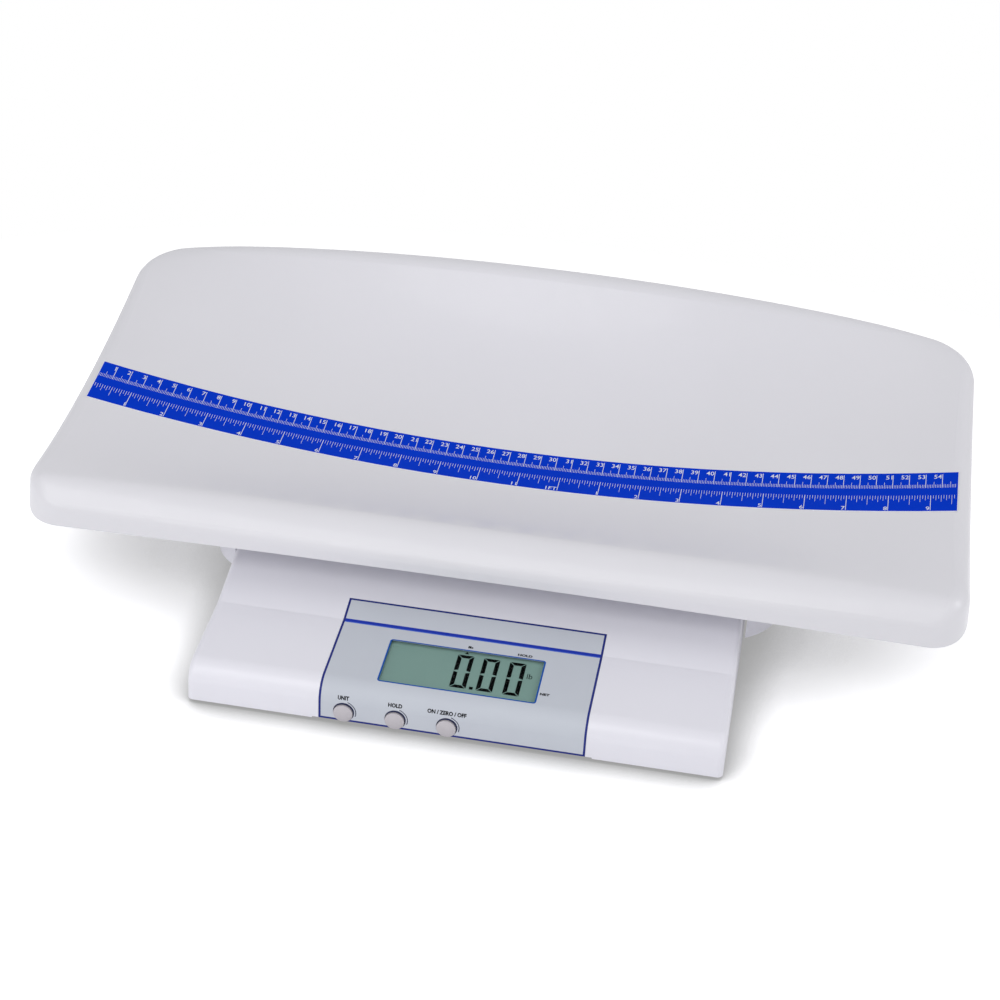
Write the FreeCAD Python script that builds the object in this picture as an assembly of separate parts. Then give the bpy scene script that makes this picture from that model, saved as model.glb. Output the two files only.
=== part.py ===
"""Digital baby weighing scale: a saddle-shaped tray on a sprung platform over a low console base.

Millimetres, +Z up, +X to the right, the display at the front (-Y).
The origin is under the centre of the whole scale, on the surface that its feet stand on.
Each function below makes one sub-part, and parts/NODE.step holds it.
"""
import FreeCAD, Part
import math
import os

V = FreeCAD.Vector
X_AXIS, Y_AXIS, Z_AXIS = V(1, 0, 0), V(0, 1, 0), V(0, 0, 1)

# ---- overall ----
OVERALL_DEPTH = 336.62       # from the buttons' domes to the back of the tray
RUNNING_GAP = 0.3            # clearance beside anything that slides
FIT_GAP = 0.15               # clearance round a piece that is seated in a pocket
GLUE = 0.05                  # layer under the tape and the display panel's film

# ---- tray ----
TRAY_LENGTH = 567.0
TRAY_DEPTH = 260.0           # at the level of the lip's lower edge
TRAY_BACK_LEAN = 3.24        # the back edge is higher, so it lies this much further forward
TRAY_WALL = 3.0
TRAY_DRAFT = 4.0             # degrees, of the turned-down edge
TRAY_FRONT_RADIUS = 25.0     # corners in plan
TRAY_BACK_RADIUS = 31.0
TROUGH_Z = 60.0              # lowest point of the bowl
TROUGH_IN = 104.0            # its distance from the front of the tray
LIP_Z = 80.0                 # crest of the front lip
LIP_IN = 22.0                # distance of the crest from the front
LIP_ROLL_TOP = 81.8          # where the lip begins to roll down to the front
LIP_ROLL_DROP = 17.0         # how far it rolls down
LIP_ROLL_IN = 31.0           # where the roll begins, at the middle
LIP_SWEEP = 12.0             # how much nearer to the front it begins at the ends
LIP_END_RISE = 1.2           # and how much higher
CREASE = 2.5                 # softness of the crests between the bowl and its two rolls
BACK_Z = 143.5               # crest of the back wall, at the middle
BACK_END_Z = 113.0           # and at the ends
BACK_IN = 246.0
BACK_ROLL_RADIUS = 60.0      # of the back rim, rolling down behind its crest
WALL_POWER = 2.3             # how the back wall steepens
END_Z = 81.6                 # the ends' level part
END_RISE = 34.0              # how far the ends climb from there to the back
END_LEVEL_IN = 47.0          # they climb behind this
END_FRONT_RISE = 0.5         # how far they rise in front of it, towards the lip
END_POWER = 1.7
SAG_HALF_LENGTH = 275.0      # the middle section blends into the end section over this length
RIM_ROUND = 10.0
RIM_SKIRT = 17.0             # depth of the turned-down edge at the ends and the back
FRONT_EDGE_Z = 54.0          # lower edge of the front lip, at its ends
FRONT_EDGE_ARCH = 3.0        # how much higher it is at the middle

# ---- printed tape in the tray ----
TAPE_LENGTH = 545.4
TAPE_FRONT_IN = 99.1         # distance of its front edge from the front of the tray
TAPE_WIDTH = 36.5
TAPE_THICKNESS = 0.3

# ---- console base ----
BASE_HALF_WIDTH = 155.7
BASE_DEPTH = 297.8
BASE_BOTTOM_Z = 2.5
BASE_WALL = 2.5
BASE_TOP_Z = 40.0
FRONT_DRAFT = 2.3            # degrees
SIDE_DRAFT = 1.5             # degrees
FRONT_ROUND = 12.2
FACE_SLOPE = 2.7             # degrees, of the part of the face that holds the display
BEND_IN = 61.0               # distance of the bend in the face from the front
BEND_Z = 28.8
BAND_SLOPE = 13.1            # degrees, of the face above the bend
BASE_SIDE_ROUND = 3.3
BASE_REAR_ROUND = 6.0
PLATE_Z = 3.0
PLATE_THICKNESS = 2.5
SCREW_BOSS_RADIUS = 4.0
SCREW_RADIUS = 1.6

# ---- display panel ----
PANEL_HALF_WIDTH = 77.4
PANEL_TOP_IN = 77.3          # distance of the film's top edge from the front
PANEL_BOTTOM_Z = 3.3
FILM_THICKNESS = 0.4
NOTCH_HALF_WIDTH = 81.4      # slot under the film's lower edge
LCD_WIDTH = 91.0
LCD_DEPTH = 36.4
LCD_IN = 30.6                # distance of the display's centre from the front
LENS_THICKNESS = 1.2
WELL_SIDE = 0.8              # how much wider than the film's window the housing's opening is
WELL_BACK = 3.0              # and how much deeper, at the back
LENS_LEDGE = 1.5             # round the housing's opening, at the sides and the back
LENS_FRONT_LEDGE = 0.6
GLASS_THICKNESS = 2.6
FRAME_WALL = 2.0
BOARD_THICKNESS = 1.6
MAIN_BOARD_WIDTH = 140.0
MAIN_BOARD_DEPTH = 50.0
MAIN_BOARD_BACK = 10.5       # how far its centre is behind the display's
MAIN_BOARD_DOWN = 11.0       # depth of the main board's top under the face
SWITCH_BOARD_TOP_Z = 14.3
SWITCH_BOARD_END = 14.0      # past the outer buttons
GUIDE_HEIGHT = 9.0           # of the two guides that hold the switch board
FLOOR_RIB_HEIGHT = 5.0
FLOOR_RIB_MARGIN = 16.0      # from the ends of the ribs to the base's sides
FRONT_RIB_AHEAD = 46.5       # of the weighing cell's front end
CABLE_WAY = 35.0             # half of the gap in the front rib
PLUG_WIDTH, PLUG_DEPTH, PLUG_HEIGHT = 12.0, 8.0, 6.0
PLUG_X = 50.0                # plug of the weighing cell's cable, under the main board

# ---- buttons ----
BUTTON_RADIUS = 5.65
BUTTON_Z = 8.8
BUTTON_PROUD = 1.4           # how far a dome stands out of the film
BUTTON_TRAVEL = 0.7
BUTTON_X = {"button_unit": -63.0, "button_hold": -32.8, "button_power": -2.8}
FLANGE_LIP = 1.4
FLANGE_GAP = 0.4             # between the flange and the wall in front of it
FLANGE_THICKNESS = 1.5
STEM_LENGTH = 2.4
SWITCH_SIZE = 6.0
SWITCH_DEPTH = 3.5
PLUNGER_RADIUS = 1.7
PLUNGER_LENGTH = 0.8

# ---- weighing cell ----
CELL_IN = 208.41             # centre of the weighing cell and the platform, from the base's front
CELL_LENGTH = 130.0
CELL_WIDTH = 30.0
CELL_HEIGHT = 22.0
CELL_END = 35.0              # length of each end that is bolted down
CELL_SPACER = 2.5
CELL_BORE = 7.0              # radius of the two joined bores that make it flex
CELL_BORE_APART = 26.0
BOLT_RADIUS = 3.0
BOLT_HEAD_RADIUS = 5.5
BOLT_APART = 18.0
PLATFORM_GAP = 2.0           # between the base's top and the platform
PLATFORM_THICKNESS = 3.0
PLATFORM_LENGTH = 240.0
PLATFORM_DEPTH = 150.0
PLATFORM_TRAVEL = 0.5
WINDOW_MARGIN = 7.0          # room round the spacer that comes up through the base's top

# ---- platform cap ----
CAP_HALF_WIDTH = 175.0
CAP_DEPTH = 207.0
CAP_RADIUS = 35.0
CAP_WALL = 2.5
CAP_TOP_Z = 50.0
CAP_SKIRT_Z = 20.0
CAP_ROUND = 6.0
CAP_NOTCH_GAP = 1.5
PEG_X, PEG_Y = 100.0, 48.0   # from the middle of the platform
PEG_RADIUS = 5.0
PEG_HEIGHT = 7.0
PAD_RADIUS = 12.0
PAD_THICKNESS = 1.5
SOCKET_ROOM = 0.8            # above a peg, inside its socket

# ---- batteries and their door ----
CELL_AA_RADIUS = 7.2
CELL_AA_LENGTH = 50.5
CELL_AA_COLUMNS = 3
CELL_AA_ROWS = 2
BAY_X = -92.0
BAY_REAR_IN = 6.3            # from the base's back to the inside of the bay
BAY_WALL = 1.5
BAY_SPACE = 0.5              # round each battery
CONTACT_ROOM = 4.0           # at each end of the row of batteries
DOOR_THICKNESS = 1.6
DOOR_OVERLAP = 3.0
DOOR_TONGUE = 1.0
DOOR_TRAVEL = 105.0

# ---- feet, stops and socket ----
FOOT_RADIUS = 10.0
FOOT_X = 137.0
FOOT_FRONT_IN = 22.0
FOOT_REAR_IN = 22.0
STOP_RADIUS = 6.0
STOP_GAP = 0.9
JACK_X = 95.0
JACK_Z = 12.0
JACK_RADIUS = 4.0
JACK_BORE = 2.8
JACK_LENGTH = 14.0
CABLE_RADIUS = 1.5

# ---- places worked out from the sizes above ----
BASE_FRONT_Y = BUTTON_PROUD - OVERALL_DEPTH / 2
BASE_BACK_Y = BASE_FRONT_Y + BASE_DEPTH
CELL_Y = BASE_FRONT_Y + CELL_IN
TRAY_FRONT_Y = OVERALL_DEPTH / 2 + TRAY_BACK_LEAN - TRAY_DEPTH
BEND_Y = BASE_FRONT_Y + BEND_IN
PLATE_TOP_Z = PLATE_Z + PLATE_THICKNESS
CELL_Z = PLATE_TOP_Z + CELL_SPACER
CELL_FRONT_Y = CELL_Y - CELL_LENGTH / 2
CELL_BACK_Y = CELL_Y + CELL_LENGTH / 2
FREE_END_Y = CELL_FRONT_Y + CELL_END / 2
FIXED_END_Y = CELL_BACK_Y - CELL_END / 2
PLATFORM_Z = BASE_TOP_Z + PLATFORM_GAP
PLATFORM_TOP_Z = PLATFORM_Z + PLATFORM_THICKNESS
BOSS_FOOT_Z = CAP_TOP_Z + PAD_THICKNESS
BAY_HALF_WIDTH = CELL_AA_COLUMNS * (CELL_AA_RADIUS + BAY_SPACE / 2)
BAY_LENGTH = CELL_AA_ROWS * CELL_AA_LENGTH + 2 * CONTACT_ROOM
BAY_BACK_Y = BASE_BACK_Y - BAY_REAR_IN
BAY_FRONT_Y = BAY_BACK_Y - BAY_LENGTH
BATTERY_Z = PLATE_TOP_Z + CELL_AA_RADIUS
BAY_ROOF_Z = BATTERY_Z + CELL_AA_RADIUS + BAY_SPACE
DOOR_HALF_WIDTH = BAY_HALF_WIDTH + DOOR_OVERLAP
DOOR_FRONT_Y = BAY_FRONT_Y - DOOR_OVERLAP
PEG_PLACES = [(sx * PEG_X, CELL_Y + sy * PEG_Y) for sx in (-1, 1) for sy in (-1, 1)]


# ---- small helpers ----
def box(x0, x1, y0, y1, z0, z1):
    return Part.makeBox(x1 - x0, y1 - y0, z1 - z0, V(x0, y0, z0))


def cylinder(radius, x, y, z0, z1):
    return Part.makeCylinder(radius, z1 - z0, V(x, y, z0))


def fused(first, *others):
    return first.fuse(list(others)).removeSplitter()


def rounded_plan(x0, x1, y0, y1, front_radius, back_radius, z0, z1, draft=0.0):
    """A block with rounded upright corners; its sides lean in by the draft, above z0."""
    lean = (z1 - z0) * math.tan(math.radians(draft))
    block = Part.makeWedge(x0, z0, -y1, lean - y1, x0 + lean, x1, z1, -y0, -y0 - lean, x1 - lean)
    block.rotate(V(0, 0, 0), X_AXIS, 90)
    middle = (y0 + y1) / 2
    for radius, behind in ((front_radius, False), (back_radius, True)):
        corners = [e for e in block.Edges if abs(e.tangentAt(e.FirstParameter).z) > 0.98
                   and (e.CenterOfMass.y > middle) == behind and e.Length > 1
                   and abs(e.CenterOfMass.y - middle) > (y1 - y0) / 2 - lean - 1]
        block = block.makeFillet(radius, corners)
    return block


def screw(x, y, head_z, length, radius, head_radius):
    """A countersunk screw that points up, its head at head_z."""
    cone = Part.makeCone(head_radius, radius, head_radius - radius, V(x, y, head_z))
    shank = cylinder(radius, x, y, head_z, head_z + length)
    slot = box(x - head_radius, x + head_radius, y - 0.4, y + 0.4, head_z, head_z + 0.5)
    return fused(cone, shank).cut(slot)


def save(name, shape):
    shape.exportStep("parts/%s.step" % name)


# ---- tray ----
def ease(t):
    t = min(max(t, 0.0), 1.0)
    return t * t * (3 - 2 * t)


def middle_height(v):
    """Height of the bowl along its short middle line, v from the front of the tray."""
    if v < TROUGH_IN:
        return TROUGH_Z + (LIP_Z - TROUGH_Z) * ((TROUGH_IN - v) / (TROUGH_IN - LIP_IN)) ** 2
    return TROUGH_Z + (BACK_Z - TROUGH_Z) * ((v - TROUGH_IN) / (BACK_IN - TROUGH_IN)) ** WALL_POWER


def end_height(v):
    """Height of the bowl along each end."""
    climb = max(v - END_LEVEL_IN, 0.0) / (BACK_IN - END_LEVEL_IN)
    ahead = max(END_LEVEL_IN - v, 0.0) / (END_LEVEL_IN - LIP_IN)
    return END_Z + END_RISE * climb ** END_POWER + END_FRONT_RISE * ahead ** 2


def roll(top, past, radius):
    """A height that is level at top where past is 0 and falls away beyond, as a wide roll."""
    return top - past * abs(past) / (2 * radius)


def soft_min(a, b):
    return (a + b - math.hypot(a - b, CREASE)) / 2


def tray_height(x, v):
    """The bowl, rolled down at the front into the lip and at the back into the rim."""
    blend = (x / SAG_HALF_LENGTH) ** 2
    bowl = middle_height(v) + (end_height(v) - middle_height(v)) * blend
    begin = LIP_ROLL_IN - LIP_SWEEP * blend
    lip_top = LIP_ROLL_TOP + LIP_END_RISE * blend
    lip = roll(lip_top, begin - v, begin ** 2 / (2 * LIP_ROLL_DROP))
    rim = roll(BACK_Z + (BACK_END_Z - BACK_Z) * blend, v - BACK_IN, BACK_ROLL_RADIUS)
    return soft_min(soft_min(bowl, lip), rim)


def edge_height(x, v):
    """Height of the lower edge of the turned-down rim."""
    front = FRONT_EDGE_Z + FRONT_EDGE_ARCH * (1 - (x / SAG_HALF_LENGTH) ** 2)
    front += (END_Z - RIM_SKIRT - front) * ease(v / END_LEVEL_IN)
    behind = ease((v - LIP_IN) / LIP_ROLL_IN)
    return front + (tray_height(x, v) - RIM_SKIRT - front) * behind


def tray_surface(height=tray_height, inset=0.0):
    """A face of the given height, moved inset along its normal."""
    columns, rows, margin, step = 14, 72, 14.0, 0.5
    half = TRAY_LENGTH / 2 + margin
    points = []
    for i in range(columns + 1):
        x = -half + 2 * half * i / columns
        line = []
        for j in range(rows + 1):
            v = -margin + (TRAY_DEPTH + 2 * margin) * j / rows
            along_x = (height(x + step, v) - height(x - step, v)) / (2 * step)
            along_v = (height(x, v + step) - height(x, v - step)) / (2 * step)
            normal = V(-along_x, -along_v, 1).normalize()
            line.append(V(x, TRAY_FRONT_Y + v, height(x, v)) - normal * inset)
        points.append(line)
    surface = Part.BSplineSurface()
    surface.interpolate(points)
    return surface.toShape()


def below(face):
    return face.extrude(V(0, 0, -BACK_Z * 2))


def tray_plan(inset):
    """The tray's leaning walls; their size is taken at the lip's lower edge."""
    low, high = FRONT_EDGE_Z - 20, BACK_Z + 30
    grow = 20 * math.tan(math.radians(TRAY_DRAFT)) - inset
    half = TRAY_LENGTH / 2 + grow
    return rounded_plan(-half, half, TRAY_FRONT_Y - grow, TRAY_FRONT_Y + TRAY_DEPTH + grow,
                        TRAY_FRONT_RADIUS - inset, TRAY_BACK_RADIUS - inset, low, high, TRAY_DRAFT)


def round_rim(solid, face, radius):
    """Round the edge where the top meets the upright sides."""
    rim = []
    for edge in solid.Edges:
        middle = edge.valueAt((edge.FirstParameter + edge.LastParameter) / 2)
        ends = [edge.valueAt(edge.FirstParameter), edge.valueAt(edge.LastParameter)]
        if all(face.distToShape(Part.Vertex(p))[0] < 0.05 for p in ends + [middle]):
            rim.append(edge)
    return solid.makeFillet(radius, rim)


def make_tray():
    top = tray_surface()
    under = tray_surface(inset=TRAY_WALL)
    outer = round_rim(tray_plan(0).common(below(top)), top, RIM_ROUND)
    inner = round_rim(tray_plan(TRAY_WALL).common(below(under)), under, RIM_ROUND - TRAY_WALL)
    shell = outer.cut(inner).cut(below(tray_surface(edge_height)))
    support = tray_surface(inset=TRAY_WALL / 2)
    for x, y in PEG_PLACES:
        post = cylinder(PAD_RADIUS, x, y, BOSS_FOOT_Z, BACK_Z).common(below(support))
        shell = shell.fuse(post)
    socket_top = CAP_TOP_Z + PEG_HEIGHT + SOCKET_ROOM
    for x, y in PEG_PLACES:
        shell = shell.cut(cylinder(PEG_RADIUS + RUNNING_GAP, x, y, BOSS_FOOT_Z - 1, socket_top))
    return shell.removeSplitter()


def make_tape():
    front = TRAY_FRONT_Y + TAPE_FRONT_IN
    strip = box(-TAPE_LENGTH / 2, TAPE_LENGTH / 2, front, front + TAPE_WIDTH, TROUGH_Z - 5, BACK_Z)
    over = tray_surface(lambda x, v: tray_height(x, v) + GLUE + TAPE_THICKNESS)
    under = tray_surface(lambda x, v: tray_height(x, v) + GLUE)
    return strip.common(below(over)).cut(below(under))


# ---- console base ----
def sloped(z, y, degrees, at_y):
    return z + (at_y - y) * math.tan(math.radians(degrees))


def face_z(y, inset=0.0):
    """Height of the base's top at y, moved inset into the wall."""
    face = sloped(BEND_Z, BEND_Y, FACE_SLOPE, y) - inset / math.cos(math.radians(FACE_SLOPE))
    band = sloped(BEND_Z, BEND_Y, BAND_SLOPE, y) - inset / math.cos(math.radians(BAND_SLOPE))
    return min(max(face, band), BASE_TOP_Z - inset)


def console_block(inset, half_width, low_z=BASE_BOTTOM_Z):
    """The base's side profile, moved inset into the wall and swept across the base."""
    lean = math.tan(math.radians(FRONT_DRAFT))
    front = BASE_FRONT_Y + inset / math.cos(math.radians(FRONT_DRAFT))
    back = BASE_BACK_Y - inset
    top = BASE_TOP_Z - inset
    slope = math.tan(math.radians(FACE_SLOPE))
    face_drop = inset / math.cos(math.radians(FACE_SLOPE))
    band_drop = inset / math.cos(math.radians(BAND_SLOPE))
    rise = math.tan(math.radians(BAND_SLOPE))
    # the face meets the front wall, the band and the level top
    corner_z = ((BEND_Z - face_drop + (front - BEND_Y) * slope - BASE_BOTTOM_Z * lean * slope)
                / (1 - lean * slope))
    corner = (front + (corner_z - BASE_BOTTOM_Z) * lean, corner_z)
    bend_y = BEND_Y + (band_drop - face_drop) / (rise - slope)
    bend = (bend_y, BEND_Z - face_drop + (bend_y - BEND_Y) * slope)
    crest = (BEND_Y + (top - BEND_Z + band_drop) / rise, top)
    low = (front + (low_z - BASE_BOTTOM_Z) * lean, low_z)
    outline = [low, corner, bend, crest, (back, top), (back, low_z), low]
    face = Part.Face(Part.makePolygon([V(-half_width, y, z) for y, z in outline]))
    block = face.extrude(V(2 * half_width, 0, 0))

    def across(y, z):
        return [e for e in block.Edges if abs(e.CenterOfMass.x) < 0.1
                and math.hypot(e.CenterOfMass.y - y, e.CenterOfMass.z - z) < 0.2]

    block = block.makeFillet(FRONT_ROUND - inset, across(*corner))
    block = block.makeFillet(BASE_REAR_ROUND - inset, across(back, top))
    return block


def drafted_sides(inset):
    """A long block with leaning sides, to trim the base's width."""
    low, high = -10.0, BASE_TOP_Z + 10
    lean = math.tan(math.radians(SIDE_DRAFT))
    half = BASE_HALF_WIDTH - inset
    wide = half + (BASE_BOTTOM_Z - low) * lean
    narrow = half - (high - BASE_BOTTOM_Z) * lean
    outline = [(-wide, low), (wide, low), (narrow, high), (-narrow, high), (-wide, low)]
    front = BASE_FRONT_Y - 20
    face = Part.Face(Part.makePolygon([V(x, front, z) for x, z in outline]))
    return face.extrude(V(0, BASE_DEPTH + 40, 0))


def on_face(shape):
    """Move a shape made round the origin to the middle of the display, tilted with the face."""
    shape = shape.copy()
    shape.rotate(V(0, 0, 0), X_AXIS, FACE_SLOPE)
    y = BASE_FRONT_Y + LCD_IN
    shape.translate(V(0, y, face_z(y)))
    return shape


def centred(width, depth, z0, z1):
    return box(-width / 2, width / 2, -depth / 2, depth / 2, z0, z1)


def housing_screw_places():
    side, front, rear = BASE_HALF_WIDTH - 14, BASE_FRONT_Y + 40, BASE_BACK_Y - 12
    return [(sx * side, y) for sx in (-1, 1) for y in (front, CELL_Y, rear)]


def foot_places():
    return [(sx * FOOT_X, y) for sx in (-1, 1)
            for y in (BASE_FRONT_Y + FOOT_FRONT_IN, BASE_BACK_Y - FOOT_REAR_IN)]


def board_screw_places():
    """On the face, from the display's centre."""
    return [(sx * (MAIN_BOARD_WIDTH / 2 - 5), MAIN_BOARD_BACK + sy * (MAIN_BOARD_DEPTH / 2 - 5))
            for sx in (-1, 1) for sy in (-1, 1)]


def lens_block(gap, z0, z1):
    half = LCD_WIDTH / 2 + WELL_SIDE + LENS_LEDGE + gap
    back = LCD_DEPTH / 2 + WELL_BACK + LENS_LEDGE + gap
    return on_face(box(-half, half, -LCD_DEPTH / 2 - LENS_FRONT_LEDGE - gap, back, z0, z1))


def well_block(gap, z0, z1):
    """The housing's opening, larger by gap: it reaches further back than the film's window,
    so that its walls stay hidden."""
    half = LCD_WIDTH / 2 + WELL_SIDE + gap
    return on_face(box(-half, half, -LCD_DEPTH / 2 - gap, LCD_DEPTH / 2 + WELL_BACK + gap, z0, z1))


def stop_places():
    x, y = PLATFORM_LENGTH / 2 - 12, PLATFORM_DEPTH / 2 - 12
    return [(sx * x, CELL_Y + sy * y) for sx in (-1, 1) for sy in (-1, 1)]


def make_base_housing():
    wide = BASE_HALF_WIDTH + 5
    outer = console_block(0, wide).common(drafted_sides(0))
    side = [e for e in outer.Edges
            if abs(e.CenterOfMass.x) > BASE_HALF_WIDTH - 5 and e.CenterOfMass.z > BASE_BOTTOM_Z + 1
            and e.Length > 1]
    outer = outer.makeFillet(BASE_SIDE_ROUND, side)
    inner = console_block(BASE_WALL, wide, -5).common(drafted_sides(BASE_WALL))
    shell = outer.cut(inner)
    # posts for the screws of the base plate and of the main board
    hollow = console_block(BASE_WALL / 2, wide)
    posts = [cylinder(SCREW_BOSS_RADIUS, x, y, PLATE_TOP_Z, BASE_TOP_Z).common(hollow)
             for x, y in housing_screw_places()]
    posts += [on_face(cylinder(3, x, y, -MAIN_BOARD_DOWN, -BASE_WALL / 2))
              for x, y in board_screw_places()]
    shell = shell.fuse(posts)
    # stiffening ribs under the top, clear of the cell's window
    rib_y = CELL_Y + CELL_END
    for x in (-60.0, 60.0):
        shell = shell.fuse(box(x - 1, x + 1, CELL_FRONT_Y, rib_y, BASE_TOP_Z - 8, BASE_TOP_Z - 1))
    cuts = [cylinder(SCREW_RADIUS - 0.1, x, y, PLATE_TOP_Z - 1, PLATE_TOP_Z + 12)
            for x, y in housing_screw_places()]
    cuts += [on_face(cylinder(1.2, x, y, -MAIN_BOARD_DOWN - 1, -BASE_WALL))
             for x, y in board_screw_places()]
    # pocket of the film, opening of the display and its ledge
    cuts.append(film_block(FIT_GAP))
    cuts.append(well_block(0, -BASE_WALL - 3, 3))
    cuts.append(lens_block(FIT_GAP, -FILM_THICKNESS - LENS_THICKNESS, 3))
    # slot under the film's lower edge
    cuts.append(box(-NOTCH_HALF_WIDTH, NOTCH_HALF_WIDTH, BASE_FRONT_Y - 1,
                    BASE_FRONT_Y + BASE_WALL / 2, BASE_BOTTOM_Z - 1, PANEL_BOTTOM_Z))
    for x in BUTTON_X.values():
        cuts.append(Part.makeCylinder(BUTTON_RADIUS + RUNNING_GAP, 10,
                                      V(x, BASE_FRONT_Y - 5, BUTTON_Z), Y_AXIS))
    # window for the spacer that carries the platform
    half = CELL_WIDTH / 2 + WINDOW_MARGIN
    cuts.append(box(-half, half, CELL_FRONT_Y - WINDOW_MARGIN,
                    CELL_FRONT_Y + CELL_END + WINDOW_MARGIN, BASE_TOP_Z - 5, BASE_TOP_Z + 5))
    # way out of the battery door, and the power socket
    half = DOOR_HALF_WIDTH + DOOR_TONGUE + RUNNING_GAP
    cuts.append(box(BAY_X - half, BAY_X + half, BASE_BACK_Y - 4, BASE_BACK_Y + 1,
                    BASE_BOTTOM_Z - 1, PLATE_TOP_Z + RUNNING_GAP))
    cuts.append(Part.makeCylinder(JACK_RADIUS + FIT_GAP, 10, V(JACK_X, BASE_BACK_Y - 5, JACK_Z),
                                  Y_AXIS))
    return shell.cut(cuts).removeSplitter()


def film_block(gap):
    """The film's shape, wider by gap at its sides and top."""
    half = PANEL_HALF_WIDTH + gap
    skin = console_block(0, half).cut(console_block(FILM_THICKNESS, half + 1, BASE_BOTTOM_Z - 1))
    span = box(-half, half, BASE_FRONT_Y - 5, BASE_FRONT_Y + PANEL_TOP_IN + gap,
               PANEL_BOTTOM_Z - gap, BASE_TOP_Z + 5)
    return skin.common(span)


def make_panel_film():
    cuts = [on_face(centred(LCD_WIDTH, LCD_DEPTH, -5, 5))]
    for x in BUTTON_X.values():
        cuts.append(Part.makeCylinder(BUTTON_RADIUS + RUNNING_GAP, 10,
                                      V(x, BASE_FRONT_Y - 5, BUTTON_Z), Y_AXIS))
    return film_block(0).cut(cuts)


def make_lcd_window():
    return lens_block(0, -FILM_THICKNESS - LENS_THICKNESS, -FILM_THICKNESS - GLUE)


def make_lcd_glass():
    top = -FILM_THICKNESS - LENS_THICKNESS - GLUE
    return well_block(-FIT_GAP, top - GLASS_THICKNESS, top)


def make_lcd_frame():
    """A tray-like frame that holds the glass and stands on the main board."""
    seat = -FILM_THICKNESS - LENS_THICKNESS - GLUE - GLASS_THICKNESS
    outer = well_block(FRAME_WALL, -MAIN_BOARD_DOWN, -BASE_WALL - RUNNING_GAP)
    pocket = well_block(0, seat, 3)
    well = well_block(-FRAME_WALL, -MAIN_BOARD_DOWN + 1.5, 3)
    return outer.cut([pocket, well])


def make_main_board():
    board = centred(MAIN_BOARD_WIDTH, MAIN_BOARD_DEPTH, -MAIN_BOARD_DOWN - BOARD_THICKNESS,
                    -MAIN_BOARD_DOWN)
    board.translate(V(0, MAIN_BOARD_BACK, 0))
    holes = [cylinder(1.7, x, y, -MAIN_BOARD_DOWN - 5, 0) for x, y in board_screw_places()]
    under = -MAIN_BOARD_DOWN - BOARD_THICKNESS
    chips = [box(-12, 4, -8, 8, under - 1.8, under), box(22, 34, -6, 4, under - 1.5, under),
             box(-40, -28, 4, 12, under - 4.5, under)]
    rear = MAIN_BOARD_BACK + MAIN_BOARD_DEPTH / 2
    chips.append(box(PLUG_X - PLUG_WIDTH / 2, PLUG_X + PLUG_WIDTH / 2, rear - PLUG_DEPTH, rear,
                     under - PLUG_HEIGHT, under))
    return on_face(board.cut(holes).fuse(chips))


def make_board_screws():
    heads = -MAIN_BOARD_DOWN - BOARD_THICKNESS
    screws = []
    for x, y in board_screw_places():
        shank = cylinder(1.1, x, y, heads, heads + 7)
        head = cylinder(2.5, x, y, heads - 1.4, heads)
        screws.append(on_face(fused(head, shank)))
    return Part.makeCompound(screws)


def switch_board_span():
    xs = list(BUTTON_X.values())
    return min(xs) - SWITCH_BOARD_END, max(xs) + SWITCH_BOARD_END


def make_switch_board():
    x0, x1 = switch_board_span()
    return box(x0, x1, switch_board_y(), switch_board_y() + BOARD_THICKNESS,
               PLATE_TOP_Z, SWITCH_BOARD_TOP_Z)


def make_tact_switches():
    switches = []
    half = SWITCH_SIZE / 2
    for x in BUTTON_X.values():
        body = box(x - half, x + half, switch_board_y() - SWITCH_DEPTH, switch_board_y(),
                   BUTTON_Z - half, BUTTON_Z + half)
        plunger = Part.makeCylinder(PLUNGER_RADIUS, PLUNGER_LENGTH + 1,
                                    V(x, switch_board_y() - SWITCH_DEPTH - PLUNGER_LENGTH, BUTTON_Z),
                                    Y_AXIS)
        switches.append(fused(body, plunger))
    return Part.makeCompound(switches)


def flange_back():
    highest = BUTTON_Z + BUTTON_RADIUS + FLANGE_LIP
    lean = (highest - BASE_BOTTOM_Z) * math.tan(math.radians(FRONT_DRAFT))
    return BASE_FRONT_Y + BASE_WALL + lean + FLANGE_GAP + FLANGE_THICKNESS


def switch_board_y():
    return flange_back() + STEM_LENGTH + BUTTON_TRAVEL + 0.1 + PLUNGER_LENGTH + SWITCH_DEPTH


def make_button(x):
    """A domed cap, its flange behind the wall and its stem in front of the switch."""
    dome_edge = 0.5
    front = BASE_FRONT_Y - BUTTON_PROUD
    back = flange_back()
    inside = back - FLANGE_THICKNESS
    crown = BUTTON_PROUD - dome_edge
    rise = Part.Arc(V(0, front, 0), V(BUTTON_RADIUS * 0.55, front + crown * 0.27, 0),
                    V(BUTTON_RADIUS, front + crown, 0))
    corners = [V(BUTTON_RADIUS, front + crown, 0), V(BUTTON_RADIUS, inside, 0),
               V(BUTTON_RADIUS + FLANGE_LIP, inside, 0), V(BUTTON_RADIUS + FLANGE_LIP, back, 0),
               V(PLUNGER_RADIUS, back, 0), V(PLUNGER_RADIUS, back + STEM_LENGTH, 0),
               V(0, back + STEM_LENGTH, 0), V(0, front, 0)]
    lines = [Part.LineSegment(a, b).toShape() for a, b in zip(corners, corners[1:])]
    section = Part.Face(Part.Wire([rise.toShape()] + lines))
    button = section.revolve(V(0, 0, 0), Y_AXIS, 360)
    button.translate(V(x, 0, BUTTON_Z))
    # a flat under the flange keeps the button from turning
    return button.common(box(x - 20, x + 20, front - 1, back + 20, PLATE_Z, BUTTON_Z + 20))


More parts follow.
